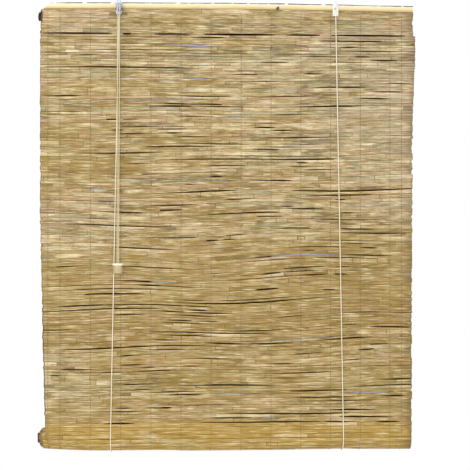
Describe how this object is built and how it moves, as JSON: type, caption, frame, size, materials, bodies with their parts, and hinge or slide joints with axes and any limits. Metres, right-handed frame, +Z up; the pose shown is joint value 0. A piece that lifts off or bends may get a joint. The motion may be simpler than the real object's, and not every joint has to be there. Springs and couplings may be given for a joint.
{
  "type": "bamboo roll up blind",
  "caption": "Split-bamboo slat blind on a head rail, part rolled up on a bottom pole, raised by two looped lift cords and a pull cord over a pulley.",
  "frame": {"origin": "midway between the two hang holes, in the middle of the hanger plates", "axes": "+X to the right as seen from the room, +Y towards the wall, +Z up"},
  "size_m": [0.919, 0.1025, 1.0952],
  "materials": {
    "pale_bamboo_lath": "planed and lightly oiled",
    "bamboo_pole": "natural bamboo skin",
    "bamboo_slats": "split bamboo, matt with a slight sheen",
    "rolled_slats": "split bamboo, golden",
    "zinc_plate": "zinc plated",
    "screw_steel": "bright zinc",
    "sheave_nylon": "moulded nylon",
    "cotton_cord": "braided cotton",
    "turned_knob": "turned and sanded",
    "white_cap": "moulded, satin"
  },
  "bodies": {
    "root": {"head_rail": "pale_bamboo_lath", "head_pole": "bamboo_pole", "mat_hem": "bamboo_slats", "slat_mat": "bamboo_slats", "hanger_left": "zinc_plate", "hanger_right": "zinc_plate", "hanger_screws": "screw_steel", "pulley_pin": "screw_steel", "strand_eye_left": "screw_steel", "strand_eye_right": "screw_steel", "cross_eye_left": "screw_steel", "cross_eye_right": "screw_steel", "front_cord_left": "cotton_cord", "front_cord_right": "cotton_cord", "rear_cord_left": "cotton_cord", "rear_cord_right": "cotton_cord", "foot_knot_left": "cotton_cord", "foot_knot_right": "cotton_cord", "over_cord_left": "cotton_cord", "cross_cord": "cotton_cord", "pull_cord_outer": "cotton_cord", "pull_cord_inner": "cotton_cord"},
    "lift_slings": {"cord_sling_left": "cotton_cord", "cord_sling_right": "cotton_cord"},
    "roll": {"bottom_pole": "bamboo_pole", "bottom_roll": "rolled_slats"},
    "outer_sheave": {"sheave_outer": "sheave_nylon"},
    "inner_sheave": {"sheave_inner": "sheave_nylon"},
    "pull": {"pull_knob": "turned_knob", "pull_cap": "white_cap", "pull_knot": "cotton_cord"}
  },
  "joints": [
    {"name": "roll_lift", "type": "slide", "parent": "root", "child": "lift_slings", "axis": [0, 0, 1], "range_m": [0, 0.9], "deforming": ["slat_mat", "front_cord_left", "front_cord_right", "rear_cord_left", "rear_cord_right"]},
    {"name": "roll_turn", "type": "hinge", "parent": "lift_slings", "child": "roll", "pos_m": [0, 0.03446, -1.054], "axis": [1, 0, 0], "range_deg": [0, 1440.5]},
    {"name": "pull_drop", "type": "slide", "parent": "root", "child": "pull", "axis": [0, 0, 1], "range_m": [-1.8, 0], "deforming": ["pull_cord_outer", "pull_cord_inner"]},
    {"name": "outer_sheave_turn", "type": "hinge", "parent": "root", "child": "outer_sheave", "pos_m": [-0.262, -0.01005, -0.0143], "axis": [1, 0, 0], "range_deg": [0, 12000]},
    {"name": "inner_sheave_turn", "type": "hinge", "parent": "root", "child": "inner_sheave", "pos_m": [-0.262, -0.01005, -0.0143], "axis": [1, 0, 0], "range_deg": [0, 12000]}
  ],
  "couplings": [
    {"joint": "roll_turn", "follows": "roll_lift", "rad_per_m": 27.925},
    {"joint": "pull_drop", "follows": "roll_lift", "ratio": -2},
    {"joint": "outer_sheave_turn", "follows": "roll_lift", "rad_per_m": 227.27},
    {"joint": "inner_sheave_turn", "follows": "roll_lift", "rad_per_m": 227.27}
  ]
}
